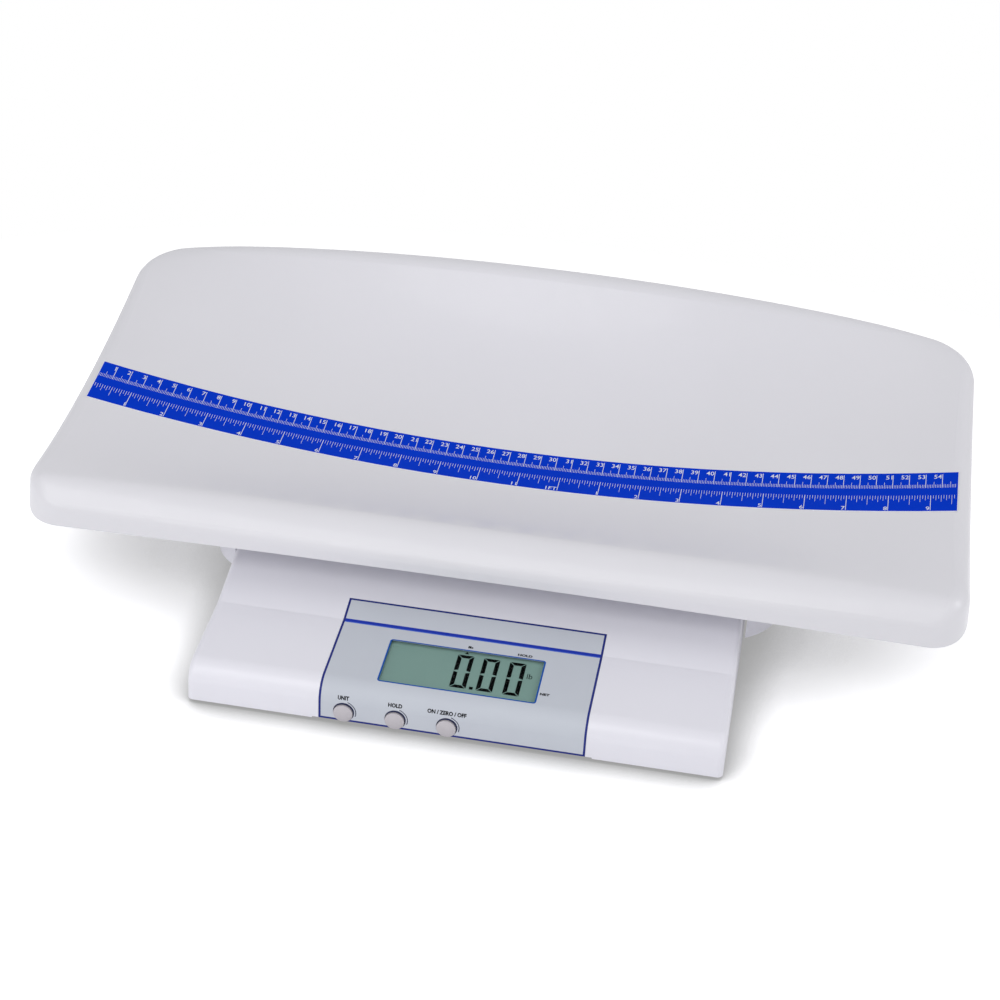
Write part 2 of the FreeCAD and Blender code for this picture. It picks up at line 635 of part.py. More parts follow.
def door_pocket(gap):
    """The battery door's plate and side tongues, larger by gap; its way out is at the back."""
    half = DOOR_HALF_WIDTH + gap
    plate = box(BAY_X - half, BAY_X + half, DOOR_FRONT_Y - gap, BASE_BACK_Y, PLATE_Z - gap,
                PLATE_Z + DOOR_THICKNESS + gap)
    tongue = box(BAY_X - half - DOOR_TONGUE, BAY_X + half + DOOR_TONGUE, DOOR_FRONT_Y - gap,
                 BASE_BACK_Y, PLATE_Z + 0.7 - gap, PLATE_Z + DOOR_THICKNESS + gap)
    return plate.fuse(tongue)


def make_base_plate():
    """The bottom: a plate with the battery bay, the cell's seat and guides for the switches."""
    gap = BASE_WALL + RUNNING_GAP
    half = BASE_HALF_WIDTH - gap
    plate = box(-half, half, BASE_FRONT_Y + gap, BASE_BACK_Y - gap, PLATE_Z, PLATE_TOP_Z)
    bay = box(BAY_X - BAY_HALF_WIDTH - BAY_WALL, BAY_X + BAY_HALF_WIDTH + BAY_WALL,
              BAY_FRONT_Y - BAY_WALL, BAY_BACK_Y + BAY_WALL, PLATE_Z, BAY_ROOF_Z + BAY_WALL)
    x0, x1 = switch_board_span()
    guides = []
    for x in (x0, x1):
        guide = box(x - 3, x + 3, switch_board_y() - 2.5, switch_board_y() + BOARD_THICKNESS + 2.5,
                    PLATE_TOP_Z, PLATE_TOP_Z + GUIDE_HEIGHT)
        guides.append(guide)
    rib_x = BASE_HALF_WIDTH - FLOOR_RIB_MARGIN
    rib_top = PLATE_TOP_Z + FLOOR_RIB_HEIGHT
    ribs = [box(CELL_WIDTH / 2 + 5, rib_x, y - 1, y + 1, PLATE_TOP_Z, rib_top)
            for y in (CELL_Y - 41, CELL_Y + 39)]
    front_rib = CELL_FRONT_Y - FRONT_RIB_AHEAD
    ribs += [box(x0, x1, front_rib - 1, front_rib + 1, PLATE_TOP_Z, rib_top)
             for x0, x1 in ((-rib_x, -CABLE_WAY), (CABLE_WAY, rib_x))]
    plate = fused(plate, bay, *(guides + ribs))
    cuts = [box(BAY_X - BAY_HALF_WIDTH, BAY_X + BAY_HALF_WIDTH, BAY_FRONT_Y, BAY_BACK_Y,
                PLATE_Z - 1, BAY_ROOF_Z)]
    cuts.append(door_pocket(RUNNING_GAP))
    cuts.append(box(x0 - FIT_GAP, x1 + FIT_GAP, switch_board_y() - FIT_GAP,
                    switch_board_y() + BOARD_THICKNESS + FIT_GAP, PLATE_TOP_Z, BASE_TOP_Z))
    # notches that clear the buttons' flanges
    clear = BUTTON_RADIUS + FLANGE_LIP + RUNNING_GAP
    for x in BUTTON_X.values():
        cuts.append(box(x - clear, x + clear, BASE_FRONT_Y, flange_back() + BUTTON_TRAVEL
                        + RUNNING_GAP, PLATE_Z - 1, PLATE_TOP_Z + 1))
    for x, y in housing_screw_places():
        cuts.append(cylinder(SCREW_RADIUS + 0.2, x, y, PLATE_Z - 1, PLATE_TOP_Z + 1))
        cuts.append(Part.makeCone(3.3, SCREW_RADIUS, 1.7, V(x, y, PLATE_Z)))
    for x, y in foot_places():
        cuts.append(cylinder(3.1, x, y, PLATE_Z - 1, PLATE_TOP_Z + 1))
    for y in cell_bolt_rows(FIXED_END_Y):
        cuts.append(cylinder(BOLT_RADIUS + 0.3, 0, y, PLATE_Z - 1, PLATE_TOP_Z + 1))
    return plate.cut(cuts).removeSplitter()


def make_battery_door():
    door = door_pocket(0)
    lip = box(BAY_X - DOOR_HALF_WIDTH, BAY_X + DOOR_HALF_WIDTH, BASE_BACK_Y - BASE_WALL,
              BASE_BACK_Y, PLATE_Z, PLATE_TOP_Z)
    door = fused(door, lip)
    grooves = [box(BAY_X - 12, BAY_X + 12, y, y + 1, PLATE_Z - 1, PLATE_Z + 0.5)
               for y in (BASE_BACK_Y - 18, BASE_BACK_Y - 15, BASE_BACK_Y - 12, BASE_BACK_Y - 9)]
    return door.cut(grooves)


def battery_places():
    pitch = 2 * CELL_AA_RADIUS + BAY_SPACE
    first = BAY_X - pitch * (CELL_AA_COLUMNS - 1) / 2
    return [(first + i * pitch, BAY_FRONT_Y + CONTACT_ROOM + j * CELL_AA_LENGTH)
            for i in range(CELL_AA_COLUMNS) for j in range(CELL_AA_ROWS)]


def make_batteries():
    """Each battery is turned about its own axis, with a step at the positive end."""
    nipple, nipple_length = 2.7, 1.2
    cells = []
    for x, y in battery_places():
        body = Part.makeCylinder(CELL_AA_RADIUS, CELL_AA_LENGTH - nipple_length,
                                 V(x, y, BATTERY_Z), Y_AXIS)
        tip = Part.makeCylinder(nipple, nipple_length,
                                V(x, y + CELL_AA_LENGTH - nipple_length, BATTERY_Z), Y_AXIS)
        cells.append(fused(body, tip))
    return Part.makeCompound(cells)


def make_battery_contacts():
    """A bent spring leaf at the front and a flat contact at the back of each column."""
    thick, half = 0.4, 4.5
    contacts = []
    for x in sorted({place[0] for place in battery_places()}):
        z0, z1 = BATTERY_Z - half, BATTERY_Z + half
        flat = box(x - half, x + half, BAY_BACK_Y - thick, BAY_BACK_Y, z0, z1)
        dimple = Part.makeCylinder(2, CONTACT_ROOM, V(x, BAY_BACK_Y - CONTACT_ROOM, BATTERY_Z),
                                   Y_AXIS)
        contacts.append(fused(flat, dimple))
        y0, y1 = BAY_FRONT_Y, BAY_FRONT_Y + CONTACT_ROOM
        leaf = Part.makePolygon([V(x - half, y0, z1), V(x - half, y0, z0), V(x - half, y1, BATTERY_Z),
                                 V(x - half, y1 - 1.5, z1 - 1), V(x - half, y1 - 1.9, z1 - 1),
                                 V(x - half, y1 - 0.6, BATTERY_Z), V(x - half, y0 + thick, z0 + 1),
                                 V(x - half, y0 + thick, z1), V(x - half, y0, z1)])
        contacts.append(Part.Face(leaf).extrude(V(2 * half, 0, 0)))
    return Part.makeCompound(contacts)


# ---- weighing cell and platform ----
def cell_bolt_rows(y):
    return y - BOLT_APART / 2, y + BOLT_APART / 2


def make_load_cell():
    """A single-point beam that flexes at two joined bores."""
    half = CELL_WIDTH / 2
    beam = box(-half, half, CELL_FRONT_Y, CELL_BACK_Y, CELL_Z, CELL_Z + CELL_HEIGHT)
    middle_z = CELL_Z + CELL_HEIGHT / 2
    cuts = [Part.makeCylinder(CELL_BORE, CELL_WIDTH + 2, V(-half - 1, CELL_Y + s * CELL_BORE_APART / 2,
                                                           middle_z), X_AXIS) for s in (-1, 1)]
    cuts.append(box(-half - 1, half + 1, CELL_Y - CELL_BORE_APART / 2, CELL_Y + CELL_BORE_APART / 2,
                    middle_z - 3.5, middle_z + 3.5))
    for y in cell_bolt_rows(FREE_END_Y) + cell_bolt_rows(FIXED_END_Y):
        cuts.append(cylinder(BOLT_RADIUS + 0.05, 0, y, CELL_Z - 1, CELL_Z + CELL_HEIGHT + 1))
    return beam.cut(cuts)


def drilled_block(y, z0, z1):
    half = CELL_WIDTH / 2
    block = box(-half, half, y - CELL_END / 2, y + CELL_END / 2, z0, z1)
    return block.cut([cylinder(BOLT_RADIUS + 0.3, 0, row, z0 - 1, z1 + 1)
                      for row in cell_bolt_rows(y)])


def make_load_cell_spacer():
    return drilled_block(FIXED_END_Y, PLATE_TOP_Z, CELL_Z)


def make_platform_spacer():
    return drilled_block(FREE_END_Y, CELL_Z + CELL_HEIGHT, PLATFORM_Z)


def make_load_cell_bolts():
    """Bolts up through the base plate; their heads lie between the plate and the table."""
    bolts = []
    for y in cell_bolt_rows(FIXED_END_Y):
        shank = cylinder(BOLT_RADIUS, 0, y, PLATE_Z, CELL_Z + CELL_HEIGHT - 4)
        head = cylinder(BOLT_HEAD_RADIUS, 0, y, PLATE_Z - 2, PLATE_Z)
        bolts.append(fused(head, shank))
    return Part.makeCompound(bolts)


def make_platform_bolts():
    bolts = []
    for y in cell_bolt_rows(FREE_END_Y):
        shank = cylinder(BOLT_RADIUS, 0, y, CELL_Z + 4, PLATFORM_TOP_Z)
        head = cylinder(BOLT_HEAD_RADIUS, 0, y, PLATFORM_TOP_Z, PLATFORM_TOP_Z + 2)
        bolts.append(fused(head, shank))
    return Part.makeCompound(bolts)


def platform_screw_places():
    x, y = PLATFORM_LENGTH / 2 - 30, PLATFORM_DEPTH / 2 - 15
    return [(sx * x, CELL_Y + sy * y) for sx in (-1, 1) for sy in (-1, 1)]


def make_platform_plate():
    half_x, half_y = PLATFORM_LENGTH / 2, PLATFORM_DEPTH / 2
    plate = rounded_plan(-half_x, half_x, CELL_Y - half_y, CELL_Y + half_y, 12, 12,
                         PLATFORM_Z, PLATFORM_TOP_Z)
    cuts = []
    for sx in (-1, 1):
        centre = sx * (half_x / 2 + 8)
        cuts.append(rounded_plan(centre - 28, centre + 28, CELL_Y - 36, CELL_Y + 36, 10, 10,
                                 PLATFORM_Z - 1, PLATFORM_TOP_Z + 1))
    for x, y in platform_screw_places():
        cuts.append(cylinder(SCREW_RADIUS + 0.2, x, y, PLATFORM_Z - 1, PLATFORM_TOP_Z + 1))
        cuts.append(Part.makeCone(3.3, SCREW_RADIUS, 1.7, V(x, y, PLATFORM_Z)))
    for y in cell_bolt_rows(FREE_END_Y):
        cuts.append(cylinder(BOLT_RADIUS + 0.3, 0, y, PLATFORM_Z - 1, PLATFORM_TOP_Z + 1))
    return plate.cut(cuts)


def make_platform_screws():
    return Part.makeCompound([screw(x, y, PLATFORM_Z, 6.5, SCREW_RADIUS, 3.1)
                              for x, y in platform_screw_places()])


def cap_plan(inset, z0, z1):
    half = CAP_HALF_WIDTH - inset
    deep = CAP_DEPTH / 2 - inset
    return rounded_plan(-half, half, CELL_Y - deep, CELL_Y + deep, CAP_RADIUS - inset,
                        CAP_RADIUS - inset, z0, z1)


def round_top(solid, z, radius):
    edges = [e for e in solid.Edges if all(abs(v.Z - z) < 0.01 for v in e.Vertexes)]
    return solid.makeFillet(radius, edges)


def make_platform_cap():
    """The plastic cover of the platform, notched at the front where it straddles the console."""
    outer = round_top(cap_plan(0, CAP_SKIRT_Z, CAP_TOP_Z), CAP_TOP_Z, CAP_ROUND)
    inside_z = CAP_TOP_Z - CAP_WALL
    inner = round_top(cap_plan(CAP_WALL, CAP_SKIRT_Z - 1, inside_z), inside_z,
                      CAP_ROUND - CAP_WALL)
    cap = outer.cut(inner)
    half_x, half_y = PLATFORM_LENGTH / 2, PLATFORM_DEPTH / 2
    ribs = [box(x - 1, x + 1, CELL_Y - half_y, CELL_Y + half_y, PLATFORM_TOP_Z, inside_z + 0.5)
            for x in (-half_x + 4, -40.0, 40.0, half_x - 4)]
    ribs += [box(-half_x, half_x, y - 1, y + 1, PLATFORM_TOP_Z, inside_z + 0.5)
             for y in (CELL_Y - half_y + 4, CELL_Y + half_y - 4)]
    bosses = [cylinder(6, x, y, PLATFORM_TOP_Z, inside_z + 0.5) for x, y in platform_screw_places()]
    pegs = [cylinder(PEG_RADIUS, x, y, inside_z, CAP_TOP_Z + PEG_HEIGHT) for x, y in PEG_PLACES]
    cap = cap.fuse(ribs + bosses + pegs)
    cuts = [cylinder(SCREW_RADIUS, x, y, PLATFORM_TOP_Z - 1, CAP_TOP_Z - 0.8)
            for x, y in platform_screw_places()]
    notch = BASE_HALF_WIDTH + CAP_NOTCH_GAP
    cap_front = CELL_Y - CAP_DEPTH / 2
    cuts.append(box(-notch, notch, cap_front - 1, cap_front + CAP_RADIUS, CAP_SKIRT_Z - 1,
                    PLATFORM_Z))
    # room for the heads of the two bolts
    cuts += [cylinder(BOLT_HEAD_RADIUS + 0.5, 0, y, PLATFORM_TOP_Z - 1, inside_z)
             for y in cell_bolt_rows(FREE_END_Y)]
    return cap.cut(cuts).removeSplitter()


def make_tray_pads():
    pads = []
    for x, y in PEG_PLACES:
        pad = cylinder(PAD_RADIUS, x, y, CAP_TOP_Z, BOSS_FOOT_Z)
        pads.append(pad.cut(cylinder(PEG_RADIUS + 0.1, x, y, CAP_TOP_Z - 1, BOSS_FOOT_Z + 1)))
    return Part.makeCompound(pads)


def make_overload_stops():
    top = PLATFORM_Z - STOP_GAP
    return Part.makeCompound([cylinder(STOP_RADIUS, x, y, BASE_TOP_Z, top)
                              for x, y in stop_places()])


# ---- feet, screws, socket and cable ----
def make_feet():
    """Tapered rubber feet, each with a stem that is pushed through the base plate."""
    feet = []
    for x, y in foot_places():
        pad = Part.makeCone(FOOT_RADIUS - 1, FOOT_RADIUS, PLATE_Z, V(x, y, 0))
        stem = cylinder(3, x, y, PLATE_Z, PLATE_TOP_Z + 0.5)
        feet.append(fused(pad, stem))
    return Part.makeCompound(feet)


def make_housing_screws():
    return Part.makeCompound([screw(x, y, PLATE_Z, 12, SCREW_RADIUS - 0.15, 3.1)
                              for x, y in housing_screw_places()])


def make_dc_jack():
    """A socket in the back wall for the plug of a mains adapter."""
    back = BASE_BACK_Y - 0.2
    barrel = Part.makeCylinder(JACK_RADIUS, BASE_WALL, V(JACK_X, back - BASE_WALL, JACK_Z), Y_AXIS)
    body = box(JACK_X - 5, JACK_X + 5, back - JACK_LENGTH, back - BASE_WALL, PLATE_TOP_Z,
               JACK_Z + 5)
    hole = Part.makeCylinder(JACK_BORE, JACK_LENGTH - 3, V(JACK_X, back - JACK_LENGTH + 3, JACK_Z),
                             Y_AXIS)
    return fused(barrel, body).cut(hole)


def make_load_cell_cable():
    """From the weighing cell's free end down to the floor and into its plug on the main board."""
    low = PLATE_TOP_Z + CABLE_RADIUS + 0.1
    start = V(0, CELL_FRONT_Y, CELL_Z + CELL_HEIGHT / 2)
    end = V(PLUG_X, MAIN_BOARD_BACK + MAIN_BOARD_DEPTH / 2,
            -MAIN_BOARD_DOWN - BOARD_THICKNESS - PLUG_HEIGHT / 2)
    end = on_face(Part.Vertex(end)).Point
    # the plug's face and the cable's end aren't quite square
    end.y += FIT_GAP + CABLE_RADIUS / 5
    route = [start, start + V(0, -17.5, 0), V(10, start.y - 36.5, low + 1.5),
             V(30, start.y - 48.5, low), V(PLUG_X, end.y + 21, low + 1.5), end]
    edges = []
    radii = []
    start = route[0]
    for before, corner, after in zip(route, route[1:], route[2:]):
        one, two = (corner - before), (after - corner)
        turn = one.getAngle(two)
        reach = 0.45 * min(one.Length, two.Length)
        enter = corner - one.normalize() * reach
        leave = corner + two.normalize() * reach
        inward = (enter + leave) * 0.5 - corner
        radius = reach / math.tan(turn / 2)
        middle = corner + inward.normalize() * (radius / math.cos(turn / 2) - radius)
        edges.append(Part.LineSegment(start, enter).toShape())
        edges.append(Part.Arc(enter, middle, leave).toShape())
        radii.append(round(radius, 1))
        start = leave
    edges.append(Part.LineSegment(start, route[-1]).toShape())
    print("load_cell_cable bend radii in mm:", radii)
    path = Part.Wire(edges)
    ring = Part.Wire(Part.makeCircle(CABLE_RADIUS, route[0], route[1] - route[0]))
    return path.makePipeShell([ring], True, True)


def main():
    os.makedirs("parts", exist_ok=True)
    makers = {
        "tray": make_tray, "measuring_tape": make_tape, "tray_pads": make_tray_pads,
        "platform_cap": make_platform_cap, "platform_plate": make_platform_plate,
        "platform_screws": make_platform_screws, "platform_spacer": make_platform_spacer,
        "platform_bolts": make_platform_bolts, "load_cell": make_load_cell,
        "load_cell_spacer": make_load_cell_spacer, "load_cell_bolts": make_load_cell_bolts,
        "load_cell_cable": make_load_cell_cable, "overload_stops": make_overload_stops,
        "base_housing": make_base_housing, "base_plate": make_base_plate, "feet": make_feet,
        "housing_screws": make_housing_screws, "panel_film": make_panel_film,
        "lcd_window": make_lcd_window, "lcd_glass": make_lcd_glass, "lcd_frame": make_lcd_frame,
        "main_board": make_main_board, "board_screws": make_board_screws,
        "switch_board": make_switch_board, "tact_switches": make_tact_switches,
        "battery_door": make_battery_door, "batteries": make_batteries,
        "battery_contacts": make_battery_contacts, "dc_jack": make_dc_jack,
    }
    for name, maker in makers.items():
        save(name, maker())
    for name, x in BUTTON_X.items():
        save(name, make_button(x))


main()
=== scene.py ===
"""Looks of the digital baby weighing scale: finishes, printed markings, studio light and camera.

Metres, +Z up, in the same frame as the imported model.
"""
import math

import bmesh
import bpy
from mathutils import Matrix, Vector
from mathutils.bvhtree import BVHTree


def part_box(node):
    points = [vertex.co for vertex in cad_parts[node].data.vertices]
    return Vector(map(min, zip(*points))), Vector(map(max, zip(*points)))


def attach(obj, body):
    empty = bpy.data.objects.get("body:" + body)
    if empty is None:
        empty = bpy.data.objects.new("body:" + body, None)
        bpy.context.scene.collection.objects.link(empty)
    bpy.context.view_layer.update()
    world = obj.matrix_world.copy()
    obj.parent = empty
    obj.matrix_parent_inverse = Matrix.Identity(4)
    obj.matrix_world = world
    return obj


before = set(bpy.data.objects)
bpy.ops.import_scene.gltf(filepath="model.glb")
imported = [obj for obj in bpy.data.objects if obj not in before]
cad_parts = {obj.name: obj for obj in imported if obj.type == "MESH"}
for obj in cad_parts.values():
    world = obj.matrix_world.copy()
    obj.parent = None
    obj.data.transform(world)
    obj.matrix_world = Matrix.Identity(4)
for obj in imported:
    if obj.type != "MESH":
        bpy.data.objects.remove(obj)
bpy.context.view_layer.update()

MM = 0.001

# ---- camera ----
CAMERA_PLACE = Vector((0.16467, -1.10564, 0.81024))
CAMERA_YAW, CAMERA_PITCH, CAMERA_ROLL = 8.654, 34.0, 2.814   # degrees
CAMERA_LENS = 78.37          # mm, on a sensor of 36 mm

# ---- studio ----
AMBIENT = 0.46               # strength of the even light from all round
AMBIENT_TINT = (0.97, 0.975, 1.0, 1.0)
LAMP_TARGET = Vector((0, 0, 50 * MM))
SOFTBOXES = (                # name, place, diameter, watts
    ("key_lamp", (-0.4, -1.6, 1.9), 1.4, 14.7),
    ("left_lamp", (-1.1, -1.7, 0.8), 1.0, 6.9),
    ("right_lamp", (2.0, 0.1, 1.2), 1.0, 10.4),
)
FLOOR_HALF = 6.0
FLOOR_WHITE = 2.4            # as seen and reflected, so that the bare floor is white
FLOOR_SHADES = (0.1, 0.03, 0.03)   # each shades the floor within this distance of a piece
SHADOW_LIFT = 0.34           # how much plain white is in the darkest shadow
SHADOW_NEAR, SHADOW_FAR = 0.26, 0.46   # the floor turns plain white between these distances
SHADOW_SQUASH = 0.4          # below 1, the shadow reaches further to the sides

# ---- finishes ----
PLASTICS = (                 # slot, colour, roughness, size and depth of the grain, coat
    ("tray_plastic", "E8E7EC", 0.42, 1.2 * MM, 0.01 * MM, 0.15),
    ("housing_plastic", "F1F0F8", 0.42, 0.9 * MM, 0.02 * MM, 0.1),
    ("plate_plastic", "D9DADE", 0.6, 0.7 * MM, 0.06 * MM, 0.0),
    ("frame_plastic", "1E1F21", 0.5, 0.6 * MM, 0.04 * MM, 0.0),
    ("switch_plastic", "17181A", 0.45, 0.6 * MM, 0.03 * MM, 0.0),
    ("button_plastic", "C6C1C6", 0.35, 0.8 * MM, 0.01 * MM, 0.2),
    ("cable_jacket", "6D6F74", 0.55, 0.6 * MM, 0.04 * MM, 0.0),
)
METALS = (                   # slot, colour, roughness, size, stretch and depth of the streaks
    ("plate_steel", "B9BCC0", 0.38, 4.0 * MM, (1, 1, 1), 0.02 * MM),
    ("screw_steel", "C9CACC", 0.25, 0.8 * MM, (1, 1, 1), 0.01 * MM),
    ("cell_aluminium", "CDD0D3", 0.34, 0.6 * MM, (1, 0.05, 1), 0.01 * MM),
    ("contact_metal", "D3D0C8", 0.22, 0.8 * MM, (1, 1, 1), 0.01 * MM),
)
MOTTLED, STREAKED, FADED = 0.955, 0.8, 0.85   # how much light their darker parts give back
TRACKS_PER_METRE = 280.0     # of the circuit board
TRACK_WIDTH = 0.12           # as a part of the tracks' spacing
WRAP_BAND = 0.74             # where the band of a battery's wrap begins, along the battery

# ---- display panel ----
FILM_BORDER = 1.25 * MM
STRIPE_LOW, STRIPE_MIDDLE, STRIPE_HIGH = 58.9 * MM, 59.8 * MM, 61.9 * MM   # from the base's front
PANEL_FRONT = 3.0 * MM       # what is nearer than this to the base's front is its upright wall
BUTTON_RADIUS = 5.65 * MM
BUTTON_Z = 8.8 * MM
SHADE_RING_WIDTH = 0.55 * MM       # painted shade: width of a dark ring round each button, standing in for the shadow in the gap round it
SHADE_RING_RIGHT, SHADE_RING_UP = 0.35 * MM, 0.95 * MM   # its middle, from the button's, up and to the right, so that the painted shade is thickest at the top and right
SHADE_ARC_IN, SHADE_ARC_OUT = 1.25 * MM, 1.75 * MM   # painted shade: a thin dark arc at the right of each button, standing in for its gap
SHADE_ARC_LEFT, SHADE_ARC_LOW = 2.2 * MM, -2.5 * MM  # where that line ends, from the ring's middle
OPENING_HALF_X = 45.5 * MM   # the film's opening over the display
OPENING_FRONT, OPENING_BACK = 12.4 * MM, 48.8 * MM   # from the base's front
OUTLINE_WIDTH = 0.95 * MM    # printed line round the display
OUTLINE_OVER = 0.3 * MM      # how much of it hides the cut edge of the opening
OUTLINE_CORNER = 1.8 * MM
BUTTON_WORDS = (             # node, words over it, their width
    ("button_unit", "UNIT", 6.6 * MM),
    ("button_hold", "HOLD", 8.2 * MM),
    ("button_power", "ON / ZERO / OFF", 22.6 * MM),
)
WORDS_Z = 17.7 * MM          # lower side of the words over the buttons
WORD_HEIGHT, WORD_BOLD = 2.35 * MM, 0.045
DISPLAY_WORDS = (            # words, middle, lower side and width, on the film's flat top
    ("lb", 1.1 * MM, 50.9 * MM, 3.0 * MM),
    ("HOLD", 33.3 * MM, 50.5 * MM, 8.6 * MM),
    ("NET", 49.9 * MM, 19.6 * MM, 5.6 * MM),
)
SMALL_WORD, SMALL_BOLD = 2.0 * MM, 0.05
LEFT, MIDDLE, RIGHT = 0.0, 0.5, 1.0      # the part of a word that stands at its place
INK_LIFT = 0.04 * MM         # how far a printed mark lies above what it is printed on
LONGEST_EDGE = 0.7 * MM      # of the letters that follow a curved surface
OVER_PANEL = 50 * MM         # a height above every point of the film
RAY_START = 0.3              # how far before a surface a ray sets out to it

# ---- digits of the display, from its middle ----
DIGIT_COUNT = 3
DIGIT_WIDTH, DIGIT_HEIGHT = 9.6 * MM, 28.6 * MM
DIGIT_LEFT, DIGIT_BOTTOM = -5.2 * MM, -14.9 * MM     # of the first digit
DIGIT_PITCH = 15.4 * MM
DIGIT_STROKE = 2.5 * MM
SEGMENT_GAP = 0.35 * MM
WAIST_CUT = 0.3              # of a stroke, off the bars' ends half way up a digit
POINT_GAP, POINT_WIDTH, POINT_HEIGHT = 1.9 * MM, 2.2 * MM, 2.4 * MM
POINTER_GAP, POINTER_HALF, POINTER_HEIGHT = 1.2 * MM, 1.3 * MM, 2.0 * MM
UNIT_WIDTH, UNIT_HEIGHT = 3.2 * MM, 4.4 * MM
UNIT_UP = 0.56               # where the unit stands, as a part of a digit's height

# ---- marks of the tape, from its back edge ----
TAPE_MARGIN = 0.35 * MM      # white edge
CM_BASE = 14.3 * MM
CM_TICK, HALF_TICK, MM_TICK = 12.2 * MM, 5.6 * MM, 3.0 * MM
CM_NUMBER_BASE = 5.9 * MM
INCH = 25.4 * MM
INCHES_PER_FOOT = 12
LINES_PER_INCH = 16
INCH_BASE = 21.3 * MM
INCH_TICKS = {16: 14.2 * MM, 8: 8.6 * MM, 4: 6.0 * MM, 2: 4.6 * MM, 1: 3.2 * MM}
INCH_NUMBER_BASE = 35.3 * MM
TICK_WIDTH, FINE_WIDTH = 0.36 * MM, 0.22 * MM
TICK_PARTS = 3               # pieces along a tick, so that it follows the tape
NUMBER_HEIGHT, NUMBER_BOLD = 3.5 * MM, 0.004
NUMBER_GAP = 0.5 * MM        # between a number and its tick


# ---- shader helpers ----
def colour(code):
    """A linear colour from six hexadecimal digits of display colour."""
    parts = [int(code[i:i + 2], 16) / 255 for i in (0, 2, 4)]
    return [c / 12.92 if c <= 0.04045 else ((c + 0.055) / 1.055) ** 2.4 for c in parts] + [1.0]


def darker(tint, part):
    """The colour that gives back only this part of a tint's light."""
    return [light * part for light in tint[:3]] + [1.0]


class Value:
    """A number in a shader; each operator adds its Math node."""

    def __init__(self, shader, socket):
        self.shader = shader
        self.socket = socket

    def maths(self, operation, *values):
        node = self.shader.node("ShaderNodeMath", {"operation": operation}, *values)
        return Value(self.shader, node.outputs[0])

    def __add__(self, other):
        return self.maths("ADD", self, other)

    def __radd__(self, other):
        return self.maths("ADD", other, self)

    def __sub__(self, other):
        return self.maths("SUBTRACT", self, other)

    def __rsub__(self, other):
        return self.maths("SUBTRACT", other, self)

    def __mul__(self, other):
        return self.maths("MULTIPLY", self, other)

    def __rmul__(self, other):
        return self.maths("MULTIPLY", other, self)

    def __truediv__(self, other):
        return self.maths("DIVIDE", self, other)

    def __rtruediv__(self, other):
        return self.maths("DIVIDE", other, self)

    def __mod__(self, other):
        return self.maths("MODULO", self, other)

    def __rmod__(self, other):
        return self.maths("MODULO", other, self)

    def __lt__(self, other):
        return self.maths("LESS_THAN", self, other)

    def __gt__(self, other):
        return self.maths("GREATER_THAN", self, other)

    def __abs__(self):
        return self.maths("ABSOLUTE", self)

    def sqrt(self):
        return self.maths("SQRT", self)

    def higher(self, other):
        return self.maths("MAXIMUM", self, other)

    def lower(self, other):
        return self.maths("MINIMUM", self, other)

    def between(self, low, high):
        return (self > low) * (self < high)


class Shader:
    """The nodes of a material or of the world, added one by one."""

    def __init__(self, owner):
        owner.use_nodes = True
        self.tree = owner.node_tree
        self.tree.nodes.clear()

    def feed(self, socket, value):
        """Links a socket to a value or another socket, or sets it to a constant."""
        if isinstance(value, Value):
            self.tree.links.new(value.socket, socket)
        elif isinstance(value, bpy.types.NodeSocket):
            self.tree.links.new(value, socket)
        else:
            socket.default_value = value

    def node(self, kind, settings=None, *values, **named):
        """Adds a node: settings first, then values or links by position or by socket name."""
        node = self.tree.nodes.new(kind)
        for key, setting in (settings or {}).items():
            setattr(node, key, setting)
        for socket, value in zip(node.inputs, values):
            self.feed(socket, value)
        for key, value in named.items():
            self.feed(node.inputs[key.replace("_", " ")], value)
        return node

    def seen_or_reflected(self):
        """1 for rays of the camera and those that glossy and clear pieces pass on, else 0."""
        path = self.node("ShaderNodeLightPath")
        camera, glossy, through = [Value(self, path.outputs["Is %s Ray" % kind])
                                   for kind in ("Camera", "Glossy", "Transmission")]
        return camera.higher(glossy).higher(through)

    def either(self, factor, first, second):
        """The first of two shaders where the factor is 0, the second where it is 1."""
        return self.node("ShaderNodeMixShader", None, factor, first.outputs[0], second.outputs[0])


class Finish(Shader):
    """A material, made node by node and closed by its surface shader."""

    def __init__(self, name):
        self.material = bpy.data.materials.new(name)
        super().__init__(self.material)
        self.place = self.node("ShaderNodeTexCoord").outputs["Object"]

    def axes(self):
        """The three coordinates of the point on the piece."""
        split = self.node("ShaderNodeSeparateXYZ", None, self.place)
        return [Value(self, socket) for socket in split.outputs]

    def noise(self, size, detail, stretch=(1, 1, 1)):
        """Noise from 0 to 1 with lumps of the given size."""
        mapped = self.node("ShaderNodeMapping", Vector=self.place,
                           Scale=[part / size for part in stretch])
        noise = self.node("ShaderNodeTexNoise", Vector=mapped.outputs[0], Scale=1.0,
                          Detail=detail)
        return Value(self, noise.outputs[0])

    def mix(self, factor, first, second):
        """The first of two colours where the factor is 0, the second where it is 1."""
        node = self.node("ShaderNodeMix", {"data_type": "RGBA"})
        for index, value in ((0, factor), (6, first), (7, second)):   # 6 and 7 take colours
            self.feed(node.inputs[index], value)
        return node.outputs[2]

    def bump(self, height, distance):
        return self.node("ShaderNodeBump", Height=height, Distance=distance).outputs[0]

    def closed_by(self, shader):
        self.node("ShaderNodeOutputMaterial", None, shader.outputs[0])
        return self.material

    def surface(self, **sockets):
        return self.closed_by(self.node("ShaderNodeBsdfPrincipled", **sockets))


